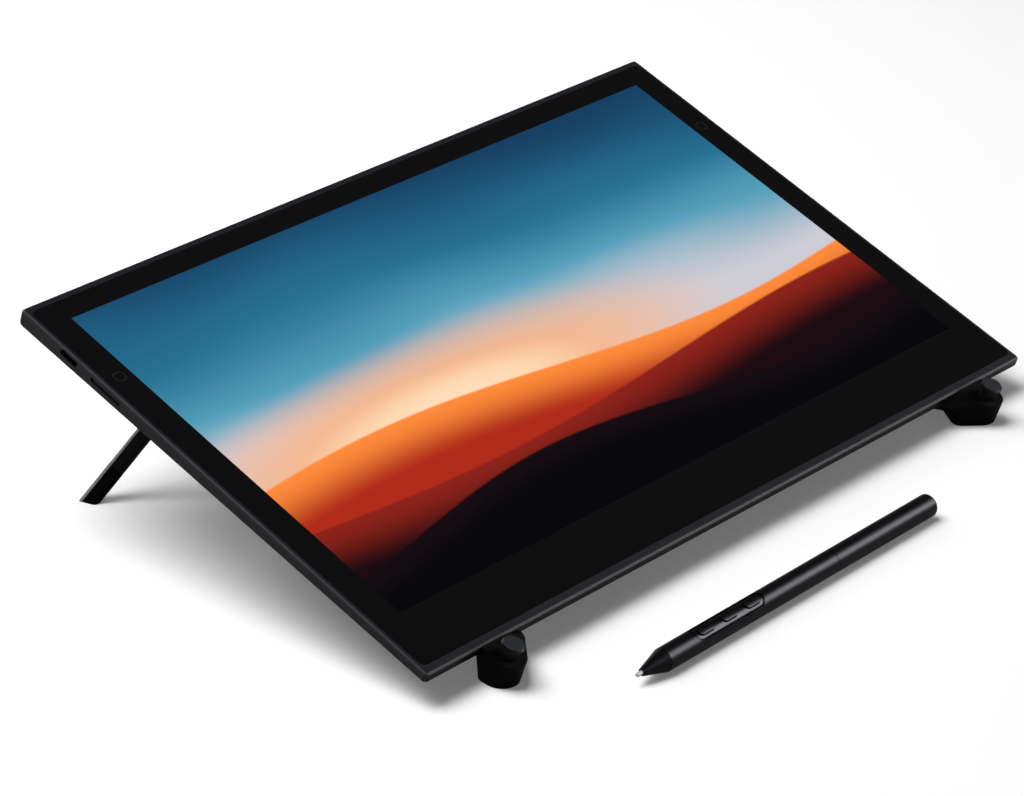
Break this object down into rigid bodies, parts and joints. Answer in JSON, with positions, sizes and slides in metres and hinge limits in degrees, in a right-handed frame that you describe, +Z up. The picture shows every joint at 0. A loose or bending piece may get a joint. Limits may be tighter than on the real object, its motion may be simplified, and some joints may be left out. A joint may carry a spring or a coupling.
{
  "type": "pen display tablet",
  "caption": "Thin black pen display lying at a drawing slope on a cross-armed desk stand with folding rear legs, with its cordless pen in front.",
  "frame": {"origin": "on the desk, at the middle of the footprint of tablet, stand and pen", "axes": "+X to the right of the person drawing, +Y away from them, +Z up"},
  "size_m": [0.319, 0.2396, 0.0798],
  "materials": {
    "casing": "satin black coating",
    "rim": "satin dark grey coating",
    "cover_glass": "etched, low gloss",
    "clear_layer": "clear adhesive",
    "display": "lit picture",
    "circuit_board": "solder mask",
    "shield": "rolled sheet",
    "foam": "soft foam",
    "flat_lead": "polyimide film",
    "port_shell": "drawn steel",
    "switch_body": "moulded",
    "button": "satin",
    "rubber": "matt",
    "stop": "satin",
    "arm": "fine grain",
    "leg": "satin black",
    "steel": "dark steel",
    "nib": "matt",
    "pen_body": "satin, soft touch",
    "pen_panel": "satin",
    "pen_button": "satin",
    "coil": "enamelled wire"
  },
  "bodies": {
    "stand": {"cross_arm_a": "arm", "cross_arm_b": "arm", "centre_rivet": "steel", "centre_pad": "rubber", "front_foot_left": "rubber", "front_foot_right": "rubber", "stop_button_left": "stop", "stop_button_right": "stop", "rest_pad_left": "rubber", "rest_pad_right": "rubber", "hinge_pin_left": "steel", "hinge_pin_right": "steel"},
    "leg_left": {"rear_leg_left": "leg", "leg_tip_left": "rubber"},
    "leg_right": {"rear_leg_right": "leg", "leg_tip_right": "rubber"},
    "tablet": {"back_cover": "casing", "frame_rim": "rim", "cover_glass": "cover_glass", "bonding_layer": "clear_layer", "display_panel": "display", "pen_sensor_board": "circuit_board", "shield_plate": "shield", "foam_sheet": "foam", "main_board": "circuit_board", "display_lead": "flat_lead", "side_board_left": "circuit_board", "side_board_right": "circuit_board", "usb_port_left": "port_shell", "usb_port_right": "port_shell", "power_switch": "switch_body", "rubber_strip_front": "rubber", "rubber_strip_rear": "rubber"},
    "power_button": {"power_button": "button"},
    "pen": {"pen_nose": "pen_body", "pen_coil": "coil", "pressure_sensor": "switch_body", "pen_barrel_front": "pen_body", "pen_panel": "pen_panel", "pen_board": "circuit_board", "pen_barrel_rear": "pen_body", "pen_end_cap": "pen_body"},
    "pen_nib": {"pen_nib": "nib"},
    "pen_button_1": {"pen_button_1": "pen_button"},
    "pen_button_2": {"pen_button_2": "pen_button"},
    "pen_button_3": {"pen_button_3": "pen_button"}
  },
  "joints": [
    {"name": "leg_left_fold", "type": "hinge", "parent": "stand", "child": "leg_left", "pos_m": [-0.08652, 0.09118, 0.05741], "axis": [0, -0.9455, -0.3256], "range_deg": [0, 131]},
    {"name": "leg_right_fold", "type": "hinge", "parent": "stand", "child": "leg_right", "pos_m": [0.08652, 0.09118, 0.05741], "axis": [0, 0.9455, 0.3256], "range_deg": [0, 131]},
    {"name": "tablet_lift", "type": "slide", "parent": "stand", "child": "tablet", "axis": [0, -0.3256, 0.9455], "range_m": [0, 0.06]},
    {"name": "power_press", "type": "slide", "parent": "tablet", "child": "power_button", "axis": [1, 0, 0], "range_m": [0, 0.0004], "stiffness_N_per_m": 2500},
    {"name": "pen_lift", "type": "slide", "parent": "stand", "child": "pen", "axis": [0, 0, 1], "range_m": [0, 0.06]},
    {"name": "nib_press", "type": "slide", "parent": "pen", "child": "pen_nib", "axis": [0.9999, 0.0157, 0], "range_m": [0, 0.0004], "stiffness_N_per_m": 2500},
    {"name": "pen_button_1_press", "type": "slide", "parent": "pen", "child": "pen_button_1", "axis": [-0.0051, 0.3255, -0.9455], "range_m": [0, 0.0004], "stiffness_N_per_m": 2500},
    {"name": "pen_button_2_press", "type": "slide", "parent": "pen", "child": "pen_button_2", "axis": [-0.0051, 0.3255, -0.9455], "range_m": [0, 0.0004], "stiffness_N_per_m": 2500},
    {"name": "pen_button_3_press", "type": "slide", "parent": "pen", "child": "pen_button_3", "axis": [-0.0051, 0.3255, -0.9455], "range_m": [0, 0.0004], "stiffness_N_per_m": 2500}
  ]
}
